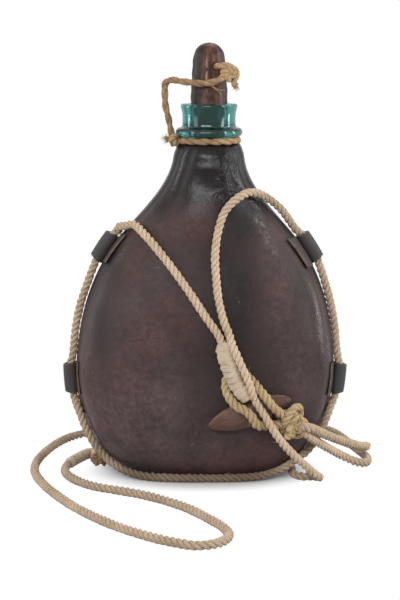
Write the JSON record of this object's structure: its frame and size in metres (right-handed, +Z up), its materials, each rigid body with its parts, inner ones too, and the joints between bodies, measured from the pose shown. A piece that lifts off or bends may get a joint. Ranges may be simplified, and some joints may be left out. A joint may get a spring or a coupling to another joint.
{
  "type": "military canteen",
  "caption": "Hollow glass flask in a sewn leather cover with cord loops, rim cord, toggle, rope sling and a tied wooden stopper; carries a drink on the march.",
  "frame": {"origin": "floor level under the middle of the object, its sling left out", "axes": "+Z up along the flask's height, +X to the right seen from the front, +Y to the back: the front faces -Y"},
  "size_m": [0.2057, 0.2525, 0.2526],
  "materials": {
    "cover_leather": "satin",
    "strap_leather": "matte",
    "teal_glass": "gloss",
    "stopper_wood": "satin",
    "toggle_wood": "satin",
    "pale_rope": "matte",
    "worn_rope": "matte",
    "jute_twine": "matte",
    "grey_thread": "matte",
    "seam_thread": "matte"
  },
  "bodies": {
    "canteen": {"glass_flask": "teal_glass", "leather_front_panel": "cover_leather", "leather_back_panel": "cover_leather", "seam_thread_right_neck": "seam_thread", "seam_thread_right_side": "seam_thread", "seam_thread_base": "seam_thread", "seam_thread_left_side": "seam_thread", "seam_thread_left_neck": "seam_thread", "cord_loop_upper_left": "strap_leather", "cord_loop_lower_left": "strap_leather", "cord_loop_lower_right": "strap_leather", "cord_loop_upper_right": "strap_leather", "rim_cord": "worn_rope", "cord_seizing": "grey_thread", "sling_cord_rear": "pale_rope", "sling_hitch": "jute_twine", "sling_cord_hook": "pale_rope", "sling_whipping": "grey_thread", "sling_cord_front": "pale_rope", "sling_knot": "pale_rope", "sling_eye": "pale_rope", "sling_tail": "pale_rope", "neck_twine": "jute_twine", "neck_twine_knot": "jute_twine", "twine_riser": "jute_twine"},
    "stopper": {"stopper": "stopper_wood", "stopper_twine": "jute_twine", "stopper_twine_knot": "jute_twine"},
    "toggle": {"toggle": "toggle_wood"}
  },
  "joints": [
    {"name": "stopper_pull", "type": "slide", "parent": "canteen", "child": "stopper", "axis": [0, 0, 1], "range_m": [0, 0.03], "deforming": ["twine_riser"]},
    {"name": "toggle_rock", "type": "hinge", "parent": "canteen", "child": "toggle", "pos_m": [0.0256, -0.031, 0.04405], "axis": [0.9482, 0.0565, 0.3127], "range_deg": [-20, 20]}
  ]
}
